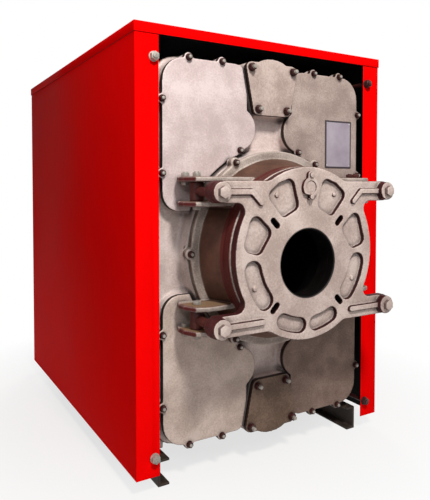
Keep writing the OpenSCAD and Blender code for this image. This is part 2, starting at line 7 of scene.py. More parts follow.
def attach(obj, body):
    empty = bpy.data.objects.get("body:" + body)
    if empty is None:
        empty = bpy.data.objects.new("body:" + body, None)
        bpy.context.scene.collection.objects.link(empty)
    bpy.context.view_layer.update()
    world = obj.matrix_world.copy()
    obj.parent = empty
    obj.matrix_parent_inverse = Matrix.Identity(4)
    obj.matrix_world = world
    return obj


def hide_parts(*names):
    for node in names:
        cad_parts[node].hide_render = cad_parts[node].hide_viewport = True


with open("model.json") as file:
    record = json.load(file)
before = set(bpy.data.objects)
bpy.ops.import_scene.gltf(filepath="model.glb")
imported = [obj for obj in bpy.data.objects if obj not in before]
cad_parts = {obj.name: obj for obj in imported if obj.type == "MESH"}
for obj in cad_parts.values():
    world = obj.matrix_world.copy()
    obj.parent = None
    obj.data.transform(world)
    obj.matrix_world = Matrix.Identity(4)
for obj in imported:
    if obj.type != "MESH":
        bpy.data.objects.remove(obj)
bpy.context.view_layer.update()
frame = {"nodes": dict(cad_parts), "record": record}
nodes = frame["nodes"]
bodyOf = {node: body for body, group in frame["record"]["behaviour"]["bodies"].items() for node in group}
print("frame loaded:", len(nodes), "nodes")

axisUp = 0.558  # the furnace axis above the floor, in metres
frontY = -0.502  # the jacket's front edge in the part's frame


def atFront(x, up, y):  # millimetres from the furnace axis and from the jacket's front edge
    return Vector((x / 1000, frontY + y / 1000, axisUp + up / 1000))


def linear(code):  # sRGB hex to the linear colour that the shaders take
    parts = [int(code[i:i + 2], 16) / 255 for i in (0, 2, 4)]
    return (*[c / 12.92 if c <= 0.04045 else ((c + 0.055) / 1.055) ** 2.4 for c in parts], 1.0)


def perMetre(mm):  # pattern scale for features of that size
    return 1000 / mm


noiseLow, noiseHigh = 0.3, 0.7  # nearly all of a noise pattern lies between these


def addNode(tree, kind, settings=None, links=None):
    node = tree.nodes.new(kind)
    for key, value in (settings or {}).items():
        if key == "stops":
            ramp = node.color_ramp
            while len(ramp.elements) < len(value):
                ramp.elements.new(0.5)
            for element, (place, code) in zip(ramp.elements, value):
                element.position = place
                element.color = linear(code)
        elif isinstance(key, str) and hasattr(node, key):
            setattr(node, key, value)
        else:
            node.inputs[key].default_value = value
    for key, source in (links or {}).items():
        tree.links.new(source, node.inputs[key])
    return node


def newTree(name):
    material = bpy.data.materials.new(name)
    material.use_nodes = True
    material.node_tree.nodes.clear()
    return material, material.node_tree


# Fire has blackened the inside of a round opening, and the black also stands for painted shade deep in the
# opening: 1 outside it, nearly 0 within.
furnaceSootShade = {"radius": 0.1765, "up": axisUp, "fade": 0.002, "black": 0.02}
burnerSootShade = {**furnaceSootShade, "radius": 0.0835, "up": 0.535}


def clearOfSootShade(tree, place, sootShade):
    across = addNode(tree, "ShaderNodeVectorMath",
                     {"operation": "MULTIPLY_ADD", 1: (1, 0, 1), 2: (0, 0, -sootShade["up"])}, {0: place})
    away = addNode(tree, "ShaderNodeVectorMath", {"operation": "LENGTH"}, {0: across.outputs["Vector"]})
    clean = addNode(tree, "ShaderNodeMapRange",
                    {"From Min": sootShade["radius"], "From Max": sootShade["radius"] + sootShade["fade"],
                     "To Min": sootShade["black"], "To Max": 1.0},
                    {"Value": away.outputs["Value"]})
    return clean.outputs["Result"]


# What the spray gun and the years did to every casting alike, with the painted shade and edge highlights laid on
# all of them.
castingLook = {
    "wander": 0.45, "bandEdge": 0.001,  # how ragged the spray's edge is, and how sharp a band's
    "dust": "8E7358", "levelFrom": 0.96, "levelFull": 0.99,  # dust lies on faces that look straight up
    "grainShare": 0.4, "cloudRelief": 0.5,  # grain in the mottle, cloud in the relief
    "low": 0.1, "high": 0.95,  # metres above the floor between which the painted shade lifts
    "openCorner": 0.92, "wornLitFrom": 0.525, "wornLitFull": 0.60,  # corners that get no painted shade, and edges rubbed pale, partly a painted highlight
    "bump": 0.55, "relief": 0.0014, "dull": 0.62, "shiny": 0.46, "metal": 0.15, "specular": 0.25}


# Sand-cast iron, primed all round and then sprayed silver from the front only: a soft warm grey with cloudy
# patches, brown or maroon wherever a face turns aside. Painted shade darkens it towards the floor and in its
# corners, and its edges are rubbed pale, partly a painted highlight.
def sprayedCasting(name, look):
    material, tree = newTree(name)
    coords = addNode(tree, "ShaderNodeTexCoord")
    place, normal = coords.outputs["Object"], coords.outputs["Normal"]
    facing = addNode(tree, "ShaderNodeVectorMath", {"operation": "DOT_PRODUCT", 1: look["aim"]}, {0: normal})
    ragged = addNode(tree, "ShaderNodeTexNoise",
                     {"Scale": perMetre(look["fringe"]), "Detail": 5.0, "Roughness": 0.65}, {"Vector": place})
    split = addNode(tree, "ShaderNodeSeparateXYZ", {}, {"Vector": place})
    turned = addNode(tree, "ShaderNodeSeparateXYZ", {}, {"Vector": normal})
    primer = addNode(tree, "ShaderNodeValToRGB", {"stops": look["primer"]},
                     {"Fac": ragged.outputs["Fac"]}).outputs["Color"]
    reach = addNode(tree, "ShaderNodeMath", {"operation": "MULTIPLY_ADD", 1: castingLook["wander"]},
                    {0: ragged.outputs["Fac"], 2: facing.outputs["Value"]}).outputs[0]
    outward = addNode(tree, "ShaderNodeMath", {"operation": "ABSOLUTE"}, {0: split.outputs["X"]}).outputs[0]
    for band in look["bands"]:  # where the primer differs or the spray reached the sides as well
        measure = outward if band["along"] == "outward" else split.outputs["Y"]
        behind = addNode(tree, "ShaderNodeMapRange",
                         {"From Min": band["from"], "From Max": band["from"] + castingLook["bandEdge"]},
                         {"Value": measure})
        within = addNode(tree, "ShaderNodeMapRange",
                         {"From Min": band["to"], "From Max": band["to"] + castingLook["bandEdge"],
                          "To Min": 1.0, "To Max": 0.0},
                         {"Value": measure})
        inBand = addNode(tree, "ShaderNodeMath", {"operation": "MULTIPLY"},
                         {0: behind.outputs["Result"], 1: within.outputs["Result"]})
        primer = addNode(tree, "ShaderNodeMix", {"data_type": "RGBA", 7: linear(band["primer"])},
                         {0: inBand.outputs[0], 6: primer}).outputs[2]
        reach = addNode(tree, "ShaderNodeMath", {"operation": "MULTIPLY_ADD", 1: band["spray"]},
                        {0: inBand.outputs[0], 2: reach}).outputs[0]
    upward = addNode(tree, "ShaderNodeMapRange",
                     {"From Min": castingLook["levelFrom"], "From Max": castingLook["levelFull"], "To Max": look["dust"]},
                     {"Value": turned.outputs["Z"]})
    dusty = addNode(tree, "ShaderNodeMix", {"data_type": "RGBA", 7: linear(castingLook["dust"])},
                    {0: upward.outputs["Result"], 6: primer})
    cover = addNode(tree, "ShaderNodeMapRange", {"From Min": look["bare"], "From Max": look["full"]},
                    {"Value": reach})
    cloud = addNode(tree, "ShaderNodeTexNoise",
                    {"Scale": perMetre(look["cloud"]), "Detail": 4.0, "Roughness": 0.55}, {"Vector": place})
    grain = addNode(tree, "ShaderNodeTexNoise",  # sand grain is about 1 mm, drawn coarser so that it shows
                    {"Scale": perMetre(look["grain"]), "Detail": 3.0, "Roughness": 0.7}, {"Vector": place})
    mottle = addNode(tree, "ShaderNodeMix", {0: castingLook["grainShare"]},
                     {2: cloud.outputs["Fac"], 3: grain.outputs["Fac"]})
    silver = addNode(tree, "ShaderNodeValToRGB", {"stops": look["silver"]}, {"Fac": mottle.outputs[0]})
    paint = addNode(tree, "ShaderNodeMix", {"data_type": "RGBA"},
                    {0: cover.outputs["Result"], 6: dusty.outputs[2], 7: silver.outputs["Color"]})
    # painted shade: darker towards the floor
    paintedLowShade = addNode(tree, "ShaderNodeMapRange",
                   {"From Min": castingLook["low"], "From Max": castingLook["high"], "To Min": look["lowShade"], "To Max": 1.0},
                   {"Value": split.outputs["Z"]})
    bend = addNode(tree, "ShaderNodeNewGeometry")
    hollow = addNode(tree, "ShaderNodeAmbientOcclusion",  # painted shade in corners and beside nearby parts, on a moving piece only from its own shape
                     {"samples": 12, "only_local": look["moves"], "Distance": look["shadeReach"] / 1000})
    corner = addNode(tree, "ShaderNodeMapRange",
                     {"From Min": look["shadeFrom"], "From Max": castingLook["openCorner"],
                      "To Min": look["cornerShade"], "To Max": 1.0},
                     {"Value": hollow.outputs["AO"]})
    shade = addNode(tree, "ShaderNodeMath", {"operation": "MULTIPLY"},
                    {0: paintedLowShade.outputs["Result"], 1: corner.outputs["Result"]}).outputs[0]
    # inside the furnace opening: burnt black, also painted shade
    if "sootShade" in look:
        shade = addNode(tree, "ShaderNodeMath", {"operation": "MULTIPLY"},
                        {0: shade, 1: clearOfSootShade(tree, place, look["sootShade"])}).outputs[0]
    # rubbed edges turn pale: partly wear, partly a painted highlight
    rim = addNode(tree, "ShaderNodeMapRange",
                  {"From Min": castingLook["wornLitFrom"], "From Max": castingLook["wornLitFull"], "To Max": look["edgeWearAndHighlight"]},
                  {"Value": bend.outputs["Pointiness"]})
    wornAndHighlit = addNode(tree, "ShaderNodeMix", {"data_type": "RGBA", 7: linear(look["edge"])},
                   {0: rim.outputs["Result"], 6: paint.outputs[2]})
    shaded = addNode(tree, "ShaderNodeVectorMath", {"operation": "SCALE"},
                     {"Vector": wornAndHighlit.outputs[2], "Scale": shade})
    relief = addNode(tree, "ShaderNodeMath", {"operation": "MULTIPLY_ADD", 1: castingLook["cloudRelief"]},
                     {0: cloud.outputs["Fac"], 2: grain.outputs["Fac"]})
    bump = addNode(tree, "ShaderNodeBump", {"Strength": castingLook["bump"], "Distance": castingLook["relief"]},
                   {"Height": relief.outputs[0]})
    gloss = addNode(tree, "ShaderNodeMapRange",
                    {"From Min": noiseLow, "From Max": noiseHigh, "To Min": castingLook["dull"], "To Max": castingLook["shiny"]},
                    {"Value": grain.outputs["Fac"]})
    shader = addNode(tree, "ShaderNodeBsdfPrincipled",
                     {"Metallic": castingLook["metal"], "Specular IOR Level": castingLook["specular"]},
                     {"Base Color": shaded.outputs["Vector"], "Roughness": gloss.outputs["Result"],
                      "Normal": bump.outputs["Normal"]})
    addNode(tree, "ShaderNodeOutputMaterial", {}, {"Surface": shader.outputs["BSDF"]})
    return material


# Plain cast iron, sheet, bar or fibre: one ramp of colours over a cloudy pattern with its own grain.
def plainFinish(name, look):
    material, tree = newTree(name)
    place = addNode(tree, "ShaderNodeTexCoord").outputs["Object"]
    cloud = addNode(tree, "ShaderNodeTexNoise",
                    {"Scale": perMetre(look["cloud"]), "Detail": 6.0, "Roughness": 0.6}, {"Vector": place})
    colour = addNode(tree, "ShaderNodeValToRGB", {"stops": look["colours"]},
                     {"Fac": cloud.outputs["Fac"]}).outputs["Color"]
    # inside the furnace opening: burnt black, also painted shade
    if "sootShade" in look:
        colour = addNode(tree, "ShaderNodeVectorMath", {"operation": "SCALE"},
                         {"Vector": colour, "Scale": clearOfSootShade(tree, place, look["sootShade"])}).outputs["Vector"]
    grain = addNode(tree, "ShaderNodeTexNoise",
                    {"Scale": perMetre(look["grain"]), "Detail": 3.0, "Roughness": 0.65}, {"Vector": place})
    bump = addNode(tree, "ShaderNodeBump", {"Strength": look["bump"], "Distance": look["relief"]},
                   {"Height": grain.outputs["Fac"]})
    gloss = addNode(tree, "ShaderNodeMapRange",
                    {"From Min": noiseLow, "From Max": noiseHigh,
                     "To Min": look["rough"][0], "To Max": look["rough"][1]},
                    {"Value": cloud.outputs["Fac"]})
    shader = addNode(tree, "ShaderNodeBsdfPrincipled",
                     {"Metallic": look["metal"], "Specular IOR Level": look["specular"]},
                     {"Base Color": colour, "Roughness": gloss.outputs["Result"],
                      "Normal": bump.outputs["Normal"]})
    addNode(tree, "ShaderNodeOutputMaterial", {}, {"Surface": shader.outputs["BSDF"]})
    return material


def tones(dark, middle, light):  # stops of a mottled coat, close together so that the clouds show
    return [(0.41, dark), (0.50, middle), (0.59, light)]


def undercoat(dark, light):
    return [(noiseLow, dark), (noiseHigh, light)]


frontSpray = {
    "aim": (0.12, -1.0, 0.12), "fringe": 18, "cloud": 70, "grain": 4.5, "bare": 0.80, "full": 1.05,
    "silver": tones("A4918A", "B5A29B", "C6B4AD"), "primer": undercoat("1E1210", "3A271F"),
    "bands": [], "dust": 0.0, "lowShade": 0.92, "moves": False,
    "shadeReach": 12, "shadeFrom": 0.45, "cornerShade": 0.22, "edge": "D6C9C3", "edgeWearAndHighlight": 0.5}
# each casting came out of the spray a little differently, the lower ones thin and brown; the tones also carry
# painted light and shade, lighter at the upper left and darker at the lower right
brightLitSpray = {**frontSpray, "silver": tones("C3B1B0", "D0BEBD", "DECECE")}
dimLitSpray = {**frontSpray, "silver": tones("978680", "A8968F", "B9A8A1")}
lowLitSpray = {**frontSpray, "silver": tones("B6A39A", "C6B3A9", "D6C4BC")}
thinShadedSpray = {**frontSpray, "silver": tones("6E5A50", "7F695F", "907A6F"), "edge": "A79890"}
portShadedSpray = {**thinShadedSpray, "silver": tones("5D4A3D", "6A5548", "796355")}
# the collar's side took spray as well, and the corners behind the covers stayed brown
sectionSpray = {
    **frontSpray, "silver": tones("C6B4AF", "D5C3BE", "E3D3CF"), "primer": undercoat("3A2A20", "5E4935"),
    "bands": [{"along": "depth", "from": -0.503, "to": -0.462, "primer": "5A4A40", "spray": 0.85}],
    # painted shade along the covers and the collar, from their occlusion
    "sootShade": furnaceSootShade, "dust": 0.7, "shadeReach": 18, "shadeFrom": 0.50, "cornerShade": 0.20}
# the door was primed maroon, and its corners get the darkest painted shade
doorSpray = {
    **frontSpray, "silver": tones("B4A19A", "C6B3AC", "D8C7C0"), "primer": undercoat("2E0F10", "4C1D1D"),
    "bare": 0.90, "full": 1.10, "sootShade": burnerSootShade, "lowShade": 0.88, "moves": True,
    "shadeReach": 18, "shadeFrom": 0.62, "cornerShade": 0.12}
# the neck's bolted rim and its plates took spray, the cone stayed brown, its door end and fork ends maroon
neckSpray = {
    **frontSpray, "silver": tones("8F827B", "A89A92", "BFB2AA"), "primer": undercoat("49332A", "664739"),
    "bands": [{"along": "depth", "from": -0.523, "to": -0.500, "primer": "5A4A40", "spray": 0.75},
              {"along": "depth", "from": -0.640, "to": -0.584, "primer": "531F1B", "spray": 0.0},
              {"along": "outward", "from": 0.262, "to": 0.400, "primer": "501A18", "spray": 0.0}],
    "fringe": 40, "sootShade": furnaceSootShade, "dust": 0.85, "moves": True, "edgeWearAndHighlight": 0.9}
boltSpray = {
    **frontSpray, "silver": tones("8F7E78", "A6958E", "BBABA5"), "primer": undercoat("260D0C", "431A18"),
    "bare": 1.2, "full": 1.5, "fringe": 7, "moves": True, "lowShade": 1.0, "edgeWearAndHighlight": 0.0}

ironColours = [(0.30, "42362F"), (0.50, "57483E"), (0.72, "6F5B4D")]
finishes = {
    # silver spray on sand-cast iron, from a thick even coat to a thin one that the brown shows through, each
    # also painted lighter or darker for the light that falls where it sits
    "cover": sprayedCasting("sprayed silver cast iron", frontSpray),
    "coverBrightLit": sprayedCasting("thickly sprayed silver cast iron painted lit", brightLitSpray),
    "coverDimLit": sprayedCasting("evenly sprayed silver cast iron painted dim", dimLitSpray),
    "coverLowLit": sprayedCasting("lightly sprayed silver cast iron painted lit", lowLitSpray),
    "coverThinShaded": sprayedCasting("thinly sprayed brown cast iron painted in shade", thinShadedSpray),
    "portBrownShaded": sprayedCasting("barely sprayed brown cast iron painted in shade", portShadedSpray),
    # the same spray on the large castings: pale on the section, over maroon on the door, patchy on the neck
    "section": sprayedCasting("sprayed silver section casting", sectionSpray),
    "door": sprayedCasting("sprayed silver cast iron over maroon primer", doorSpray),
    "neck": sprayedCasting("brown primed cast iron with silver overspray", neckSpray),
    # nuts and bolts sprayed in place: pale ends, dark maroon flanks
    "sprayedBolt": sprayedCasting("sprayed steel fastener", boltSpray),
    # maroon primer on a small rough casting that the spray gun never reached
    "maroon": plainFinish("maroon primed cast iron", {
        "cloud": 24, "colours": [(0.30, "321311"), (0.55, "48201B"), (0.78, "64372F")], "grain": 3, "bump": 0.5,
        "relief": 0.0012, "rough": (0.50, 0.68), "metal": 0.1, "specular": 0.3}),
    # red baked enamel on steel sheet: even strong red with a faint orange peel
    "enamel": plainFinish("red baked enamel", {
        "cloud": 260, "colours": [(0.30, "F50304"), (0.70, "FC0506")], "grain": 9, "bump": 0.05,
        "relief": 0.0006, "rough": (0.42, 0.50), "metal": 0.0, "specular": 0.0015}),
    # back of the jacket sheets: near black and dull, painted shade for the dark gap inside the jacket
    "inside": plainFinish("sheet painted black as shade", {
        "cloud": 70, "colours": [(0.30, "070707"), (0.70, "15110F")], "grain": 6, "bump": 0.2, "relief": 0.0006,
        "rough": (0.75, 0.90), "metal": 0.0, "specular": 0.2}),
    # hot rolled channel under a thin dark paint, with brown showing through
    "rail": plainFinish("dark painted channel", {
        "cloud": 22, "colours": [(0.30, "1C1512"), (0.55, "30251E"), (0.75, "4C3A2E")], "grain": 3, "bump": 0.3,
        "relief": 0.0005, "rough": (0.55, 0.75), "metal": 0.2, "specular": 0.4}),
    # zinc plated steel: bright, slightly blue, with dull spots
    "zinc": plainFinish("zinc plated steel", {
        "cloud": 7, "colours": [(0.30, "8F9193"), (0.70, "C9CBCC")], "grain": 2, "bump": 0.12, "relief": 0.0002,
        "rough": (0.28, 0.45), "metal": 1.0, "specular": 0.5}),
    # zinc plating gone chalky: pale grey with almost no shine
    "dullZinc": plainFinish("dull zinc plated steel", {
        "cloud": 8, "colours": [(0.30, "7E7A74"), (0.55, "A39E97"), (0.78, "BFBAB3")], "grain": 2, "bump": 0.2,
        "relief": 0.0003, "rough": (0.45, 0.62), "metal": 0.3, "specular": 0.4}),
    # as-cast iron between the sections, dark with rust bloom in the grooves
    "rawIron": plainFinish("raw cast iron", {
        "cloud": 34, "colours": ironColours, "grain": 4, "bump": 0.5,
        "relief": 0.0014, "rough": (0.62, 0.85), "metal": 0.2, "specular": 0.25}),
    # the same iron with the furnace bore burnt black, the black also painted shade deep in the bore
    "sootShadedIron": plainFinish("raw cast iron with its bore sooted and painted in shade", {
        "cloud": 34, "colours": ironColours, "grain": 4, "bump": 0.5,
        "relief": 0.0014, "rough": (0.75, 0.92), "metal": 0.0, "specular": 0.08, "sootShade": furnaceSootShade}),
    # rammed refractory fibre: chalky and porous, nearly black as sooted fibre and as painted shade inside the
    # burner opening
    "refractory": plainFinish("refractory fibre board", {
        "cloud": 26, "colours": [(0.30, "070606"), (0.55, "0D0B0A"), (0.78, "181411")], "grain": 3, "bump": 0.7,
        "relief": 0.0015, "rough": (0.88, 0.97), "metal": 0.0, "specular": 0.02}),
    # braided ceramic fibre rope, grey and fuzzy
    "rope": plainFinish("ceramic fibre rope", {
        "cloud": 12, "colours": [(0.30, "6B6660"), (0.70, "B2ACA2")], "grain": 3, "bump": 0.8, "relief": 0.0012,
        "rough": (0.85, 0.96), "metal": 0.0, "specular": 0.15}),
    # anodised aluminium plate left bare: pale lilac grey, faint scratches
    "plate": plainFinish("anodised aluminium plate", {
        "cloud": 60, "colours": [(0.30, "978C9B"), (0.70, "B2A8B4")], "grain": 2, "bump": 0.08,
        "relief": 0.0002, "rough": (0.40, 0.50), "metal": 0.25, "specular": 0.35}),
    # ink baked on the plate's border: near black, smooth
    "plateEdge": plainFinish("dark printed border", {
        "cloud": 16, "colours": [(0.30, "2A2228"), (0.70, "3C3238")], "grain": 3, "bump": 0.05,
        "relief": 0.0002, "rough": (0.45, 0.55), "metal": 0.0, "specular": 0.4})}
print("finishes made:", len(finishes))

smoothAngle = math.radians(35)  # edges that turn more than this stay sharp
arrisAngle = math.radians(40)  # and edges that turn more than this get a chamfer
flatAngle = math.radians(1)  # faces that differ less than this are one face
square = 0.9  # a face whose normal reaches this along an axis looks that way


def only(piece):  # that piece alone selected and active
    bpy.ops.object.select_all(action="DESELECT")
    piece.select_set(True)
    bpy.context.view_layer.objects.active = piece


def copyOf(node, name):
    piece = bpy.data.objects.new(name, nodes[node].data.copy())
    bpy.context.scene.collection.objects.link(piece)
    only(piece)
    piece.data.materials.clear()
    bpy.ops.object.mode_set(mode="EDIT")
    bpy.ops.mesh.select_all(action="SELECT")
    bpy.ops.mesh.remove_doubles(threshold=1e-5)
    bpy.ops.object.mode_set(mode="OBJECT")
    return piece


def applied(piece, kind, **settings):
    only(piece)
    modifier = piece.modifiers.new(kind.title(), kind)
    for key, value in settings.items():
        setattr(modifier, key, value)
    bpy.ops.object.modifier_apply(modifier=modifier.name)


def settle(piece, body, slot, *stoodFor):
    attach(piece, body)
    if stoodFor:
        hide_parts(*stoodFor)


def triangles(piece):
    return sum(len(face.vertices) - 2 for face in piece.data.polygons)


# Castings: the CAD solid with its corners run round as sand castings have them.
coverCast = {"voxel": 2.5, "rounds": 2, "keep": 0.30, "slot": "silver_casting"}
portCast = {"voxel": 2.0, "rounds": 3, "keep": 0.50, "slot": "silver_casting"}
knuckleCast = {"voxel": 1.6, "rounds": 3, "keep": 0.50, "finish": "maroon", "slot": "maroon_casting"}
flangeCast = {"voxel": 2.6, "rounds": 2, "keep": 0.50, "finish": "rawIron", "slot": "dark_casting"}
castings = {
    "burner_door": {"voxel": 2.0, "rounds": 6, "keep": 0.40, "finish": "door", "slot": "silver_casting"},
    "burner_neck": {"voxel": 2.6, "rounds": 2, "keep": 0.35, "finish": "neck", "slot": "brown_casting"},
    "flue_cover_upper_left": {**coverCast, "finish": "coverBrightLit"},
    "flue_cover_upper_right": {**coverCast, "finish": "coverDimLit"},
    "flue_cover_lower_left": {**coverCast, "finish": "coverLowLit"},
    "flue_cover_lower_right": {**coverCast, "finish": "coverThinShaded"},
    "port_plate_upper": {**portCast, "finish": "cover"},
    "port_plate_lower": {**portCast, "finish": "portBrownShaded"},
    "front_section": {"voxel": 4.5, "rounds": 2, "keep": 0.45, "finish": "section", "slot": "silver_casting"},
    "sight_cover": {"voxel": 0.9, "rounds": 3, "keep": 0.50, "finish": "door", "slot": "silver_casting"},
    "knuckles_left": knuckleCast, "knuckles_right": knuckleCast,
    "door_lining": {"voxel": 3.0, "rounds": 2, "keep": 0.50, "finish": "refractory", "slot": "refractory"},
    "flue_hood": {"voxel": 3.4, "rounds": 2, "keep": 0.45, "finish": "rawIron", "slot": "dark_casting"},
    "flow_flange": flangeCast, "return_flange": flangeCast}
for node, cast in castings.items():
    piece = copyOf(node, node + "_cast")
    applied(piece, "REMESH", mode="VOXEL", voxel_size=cast["voxel"] / 1000)
    applied(piece, "SMOOTH", factor=0.5, iterations=cast["rounds"])
    applied(piece, "DECIMATE", decimate_type="COLLAPSE", ratio=cast["keep"])
    only(piece)
    bpy.ops.object.shade_smooth()
    piece.data.materials.append(finishes[cast["finish"]])
    settle(piece, bodyOf[node], cast["slot"], node)
    print("cast", node, triangles(piece))

# Machined and rolled pieces: the CAD solid with a small chamfer on every arris.
railBar = {"chamfer": 1.5, "finish": "rail", "slot": "rail"}
smallSteel = {"chamfer": 0.8, "finish": "dullZinc", "slot": "zinc"}
doorBolt = {"chamfer": 1.0, "finish": "door", "slot": "zinc"}
jacketSheet = {"chamfer": 0.7, "finish": "enamel", "slot": "red_sheet"}
machined = {
    "rail_left": railBar, "rail_right": railBar,
    "tie_rods_left": smallSteel, "tie_rods_right": {**smallSteel, "finish": "sprayedBolt"},
    "hinge_pins_left": smallSteel, "hinge_pins_right": {**smallSteel, "finish": "maroon"},
    "stop_bolts_left": smallSteel, "stop_bolts_right": {**smallSteel, "finish": "maroon"},
    "door_bolts_left": doorBolt, "door_bolts_right": doorBolt,
    "sight_screws": {**doorBolt, "chamfer": 0.6},
    "jacket_left": jacketSheet, "jacket_right": jacketSheet, "jacket_top": jacketSheet}
jacketMiddle = Vector((0, 0.013, 0.565))  # in metres, seen from here the sheets' black side shows
inward = -0.5  # a face that turns this far to the middle is inside
for node, part in machined.items():
    piece = copyOf(node, node + "_finished")
    bpy.ops.object.mode_set(mode="EDIT")
    bpy.ops.mesh.select_all(action="SELECT")
    bpy.ops.mesh.dissolve_limited(angle_limit=flatAngle)
    bpy.ops.object.mode_set(mode="OBJECT")
    applied(piece, "BEVEL", width=part["chamfer"] / 1000, segments=2, limit_method="ANGLE",
            angle_limit=arrisAngle, use_clamp_overlap=True)
    only(piece)
    bpy.ops.object.shade_smooth_by_angle(angle=smoothAngle)
    piece.data.materials.append(finishes[part["finish"]])
    if part["finish"] == "enamel":  # only the outside of the sheets is red
        # the inner faces take the near black sheet, painted shade for the gap within the jacket
        piece.data.materials.append(finishes["inside"])
        for face in piece.data.polygons:
            out = face.center - jacketMiddle
            side = Vector([math.copysign(1, value) for value in out])
            face.material_index = 1 if side.dot(face.normal) < inward else 0
    settle(piece, bodyOf[node], part["slot"], node)
    print("finished", node, triangles(piece))

# What stays as the CAD node and only takes a finish.
for node, finish in {"rear_section": "sootShadedIron", "door_seal": "rope",
                     **{"middle_section_%d" % i: "sootShadedIron" for i in range(1, 7)}}.items():
    nodes[node].data.materials.clear()
    nodes[node].data.materials.append(finishes[finish])
print("plain nodes dressed")

# Fasteners in millimetres, drawn once along +Z and turned to point out of the front.
bolt = {"flats": 14, "nut": 7, "washer": 8.5, "washerThick": 1.5, "rod": 4, "proud": 3, "turn": 0.3}
stud = {"flats": 17, "nut": 9, "washer": 10.5, "washerThick": 2, "rod": 5, "proud": 8, "turn": 0.1}
rounding = {"washer": 0.5, "nut": 1.4, "rod": 1.2}


def edited(select, *steps):  # edit mode on the active piece with the faces that pass the test selected
    mesh = bpy.context.object.data
    for face in mesh.polygons:
        face.select = select(face)
    for edge in mesh.edges:
        edge.select = False
    bpy.ops.object.mode_set(mode="EDIT")
    bpy.ops.mesh.select_mode(type="FACE")
    for step, settings in steps:
        step(**settings)
    bpy.ops.object.mode_set(mode="OBJECT")


def joined(pieces):  # several pieces made one, under the first one's name
    bpy.ops.object.select_all(action="DESELECT")
    for piece in pieces:
        piece.select_set(True)
    bpy.context.view_layer.objects.active = pieces[0]
    bpy.ops.object.join()
    return pieces[0]


def outerEnd(face):
    return face.normal.z > square


def fastener(name, size, finish, tip):
    bpy.ops.object.select_all(action="DESELECT")
    base, height = size["washerThick"] / 1000, size["nut"] / 1000
    length = (size["nut"] + size["proud"]) / 1000
    bpy.ops.mesh.primitive_cylinder_add(vertices=32, radius=size["washer"] / 1000, depth=base,
                                        location=(0, 0, base / 2))
    washer = bpy.context.object
    bpy.ops.object.transform_apply(location=True)
    applied(washer, "BEVEL", width=rounding["washer"] / 1000, segments=2, limit_method="ANGLE")
    bpy.ops.mesh.primitive_cylinder_add(vertices=6, radius=size["flats"] / math.sqrt(3) / 1000, depth=height,
                                        location=(0, 0, base + height / 2), rotation=(0, 0, size["turn"]))
    head = bpy.context.object
    bpy.ops.object.transform_apply(location=True, rotation=True)
    edited(outerEnd, (bpy.ops.mesh.bevel, {"offset": rounding["nut"] / 1000, "segments": 3, "affect": "EDGES"}))
    bpy.ops.mesh.primitive_cylinder_add(vertices=20, radius=size["rod"] / 1000, depth=length,
                                        location=(0, 0, base + length / 2))
    rod = bpy.context.object
    bpy.ops.object.transform_apply(location=True)
    edited(outerEnd, (bpy.ops.mesh.bevel, {"offset": rounding["rod"] / 1000, "segments": 2, "affect": "EDGES"}))
    for part, look in ((washer, finish), (head, finish), (rod, tip)):
        part.data.materials.append(look)
    joined([head, washer, rod])
    head.name = name
    head.data.transform(Matrix.Rotation(math.radians(90), 4, "X"))
    only(head)
    bpy.ops.object.shade_smooth_by_angle(angle=smoothAngle)
    return head


def scattered(name, model, places, behind=False):  # copies of a model joined to one piece
    copies = []
    for place in places:
        copy = bpy.data.objects.new(name, model.data.copy())
        if behind:
            copy.data.transform(Matrix.Rotation(math.pi, 4, "Z"))
        copy.data.transform(Matrix.Translation(place))
        bpy.context.scene.collection.objects.link(copy)
        copies.append(copy)
    settle(joined(copies), "boiler", "zinc")
    print("placed", name, len(places), triangles(copies[0]))


# Where they stand, in millimetres from the furnace axis, and how far back each face is.
coverSpots = [(311, 365), (311, 191), (240, 468), (147, 468), (93.5, 251)]
portSpots = [(66, 461), (45, 357)]
neckRing = {"radius": 252, "angles": [60, 120, 240, 300, 0, 180]}
hoodRing = {"radius": 225, "angles": [22.5 + 45 * i for i in range(8)]}
coverFace, portFace, neckFace, rearFace, hoodFace = 11, 0, -20, 1030, 1006


def mirrored(spots, face):  # the same spots in all four quarters
    return [atFront(sx * x, sz * up, face) for x, up in spots for sx in (-1, 1) for sz in (-1, 1)]


def ringed(ring, face):
    turns = [math.radians(angle) for angle in ring["angles"]]
    return [atFront(ring["radius"] * math.cos(turn), ring["radius"] * math.sin(turn), face) for turn in turns]


coverBolt = fastener("coverBolt", bolt, finishes["sprayedBolt"], finishes["dullZinc"])
portStud = fastener("portStud", stud, finishes["sprayedBolt"], finishes["dullZinc"])
scattered("cover_bolts", coverBolt, mirrored(coverSpots, coverFace))
scattered("port_studs", portStud, mirrored(portSpots, portFace))
scattered("neck_bolts", coverBolt, ringed(neckRing, neckFace))
scattered("rear_port_studs", portStud, mirrored(portSpots, rearFace), behind=True)
scattered("hood_bolts", coverBolt, ringed(hoodRing, hoodFace), behind=True)
for model in (coverBolt, portStud):
    bpy.data.objects.remove(model)

